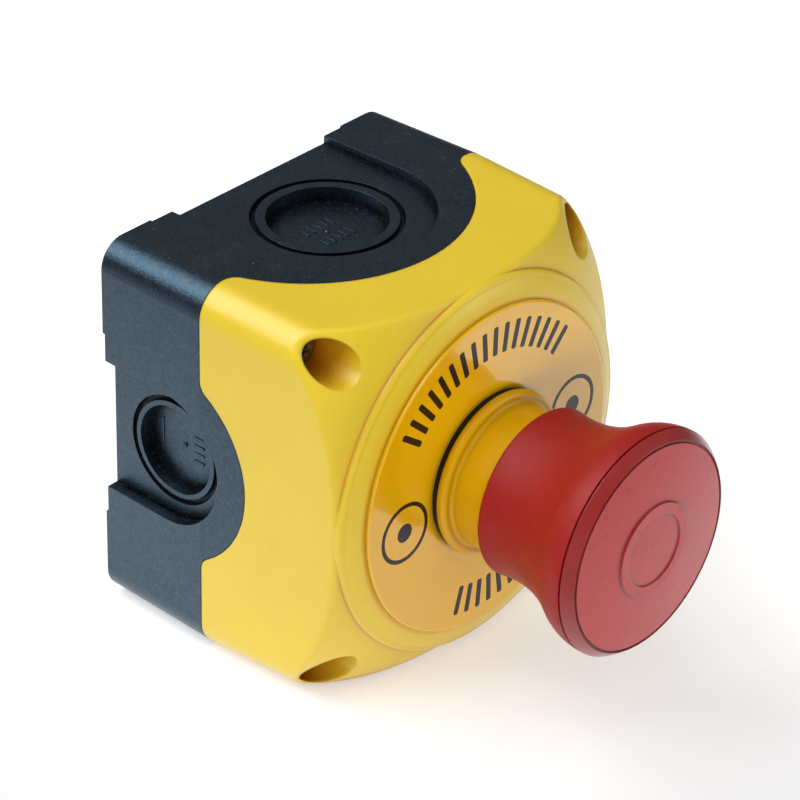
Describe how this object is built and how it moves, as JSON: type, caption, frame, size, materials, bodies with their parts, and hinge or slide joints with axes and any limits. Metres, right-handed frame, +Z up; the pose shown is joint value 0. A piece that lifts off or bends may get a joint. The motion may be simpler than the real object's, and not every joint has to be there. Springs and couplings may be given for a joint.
{
  "type": "emergency stop push button",
  "caption": "Wall box with a black base and a yellow domed cover that carries a red push-pull mushroom head for emergency stop.",
  "frame": {"origin": "on the wall plane, in the middle of the four wall holes, on the button axis", "axes": "+Z up, +Y into the wall, the button faces -Y, +X to the right as seen from the front"},
  "size_m": [0.07, 0.0909, 0.07],
  "materials": {
    "black_base": "satin, spark-eroded grain",
    "yellow_cover": "satin",
    "yellow_legend": "gloss",
    "yellow_collar": "gloss",
    "red_head": "satin",
    "rubber_seal": "matte",
    "dark_screw": "blackened",
    "plated_screw": "zinc plated",
    "spring_steel": "bright drawn wire",
    "contact_brass": "stamped",
    "black_nylon": "moulded",
    "pale_nylon": "moulded",
    "grey_block": "moulded"
  },
  "bodies": {
    "enclosure": {"base_box": "black_base", "cover": "yellow_cover", "cover_seal": "rubber_seal", "cover_screws": "dark_screw", "screw_seals": "rubber_seal", "legend_disc": "yellow_legend", "bezel_gasket": "rubber_seal", "bezel": "yellow_collar", "mounting_nut": "black_nylon", "stem_seal": "rubber_seal", "return_spring": "spring_steel", "latch_housing": "black_nylon", "latch_spring_left": "spring_steel", "contact_housing_left": "grey_block", "contact_lid_left": "grey_block", "fixed_contacts_left": "contact_brass", "terminal_screws_left": "plated_screw", "contact_spring_left": "spring_steel", "latch_spring_right": "spring_steel", "contact_housing_right": "grey_block", "contact_lid_right": "grey_block", "fixed_contacts_right": "contact_brass", "terminal_screws_right": "plated_screw", "contact_spring_right": "spring_steel"},
    "mushroom": {"head_body": "red_head", "head_cap": "red_head", "stem": "pale_nylon"},
    "contact_slide_left": {"contact_plunger_left": "pale_nylon", "contact_bridge_left": "contact_brass"},
    "latch_left": {"latch_slider_left": "pale_nylon"},
    "contact_slide_right": {"contact_plunger_right": "pale_nylon", "contact_bridge_right": "contact_brass"},
    "latch_right": {"latch_slider_right": "pale_nylon"}
  },
  "joints": [
    {"name": "head_slide", "type": "slide", "parent": "enclosure", "child": "mushroom", "axis": [0, 1, 0], "range_m": [0, 0.006], "deforming": ["return_spring"]},
    {"name": "contact_slide_left", "type": "slide", "parent": "enclosure", "child": "contact_slide_left", "axis": [0, 1, 0], "range_m": [0, 0.006], "deforming": ["contact_spring_left"]},
    {"name": "latch_slide_left", "type": "slide", "parent": "enclosure", "child": "latch_left", "axis": [1, 0, 0], "range_m": [0, 0.0012], "deforming": ["latch_spring_left"]},
    {"name": "contact_slide_right", "type": "slide", "parent": "enclosure", "child": "contact_slide_right", "axis": [0, 1, 0], "range_m": [0, 0.006], "deforming": ["contact_spring_right"]},
    {"name": "latch_slide_right", "type": "slide", "parent": "enclosure", "child": "latch_right", "axis": [-1, 0, 0], "range_m": [0, 0.0012], "deforming": ["latch_spring_right"]}
  ],
  "couplings": [
    {"joint": "contact_slide_left", "follows": "head_slide", "ratio": 1},
    {"joint": "latch_slide_left", "follows": "head_slide", "ratio": 0.2},
    {"joint": "contact_slide_right", "follows": "head_slide", "ratio": 1},
    {"joint": "latch_slide_right", "follows": "head_slide", "ratio": 0.2}
  ]
}
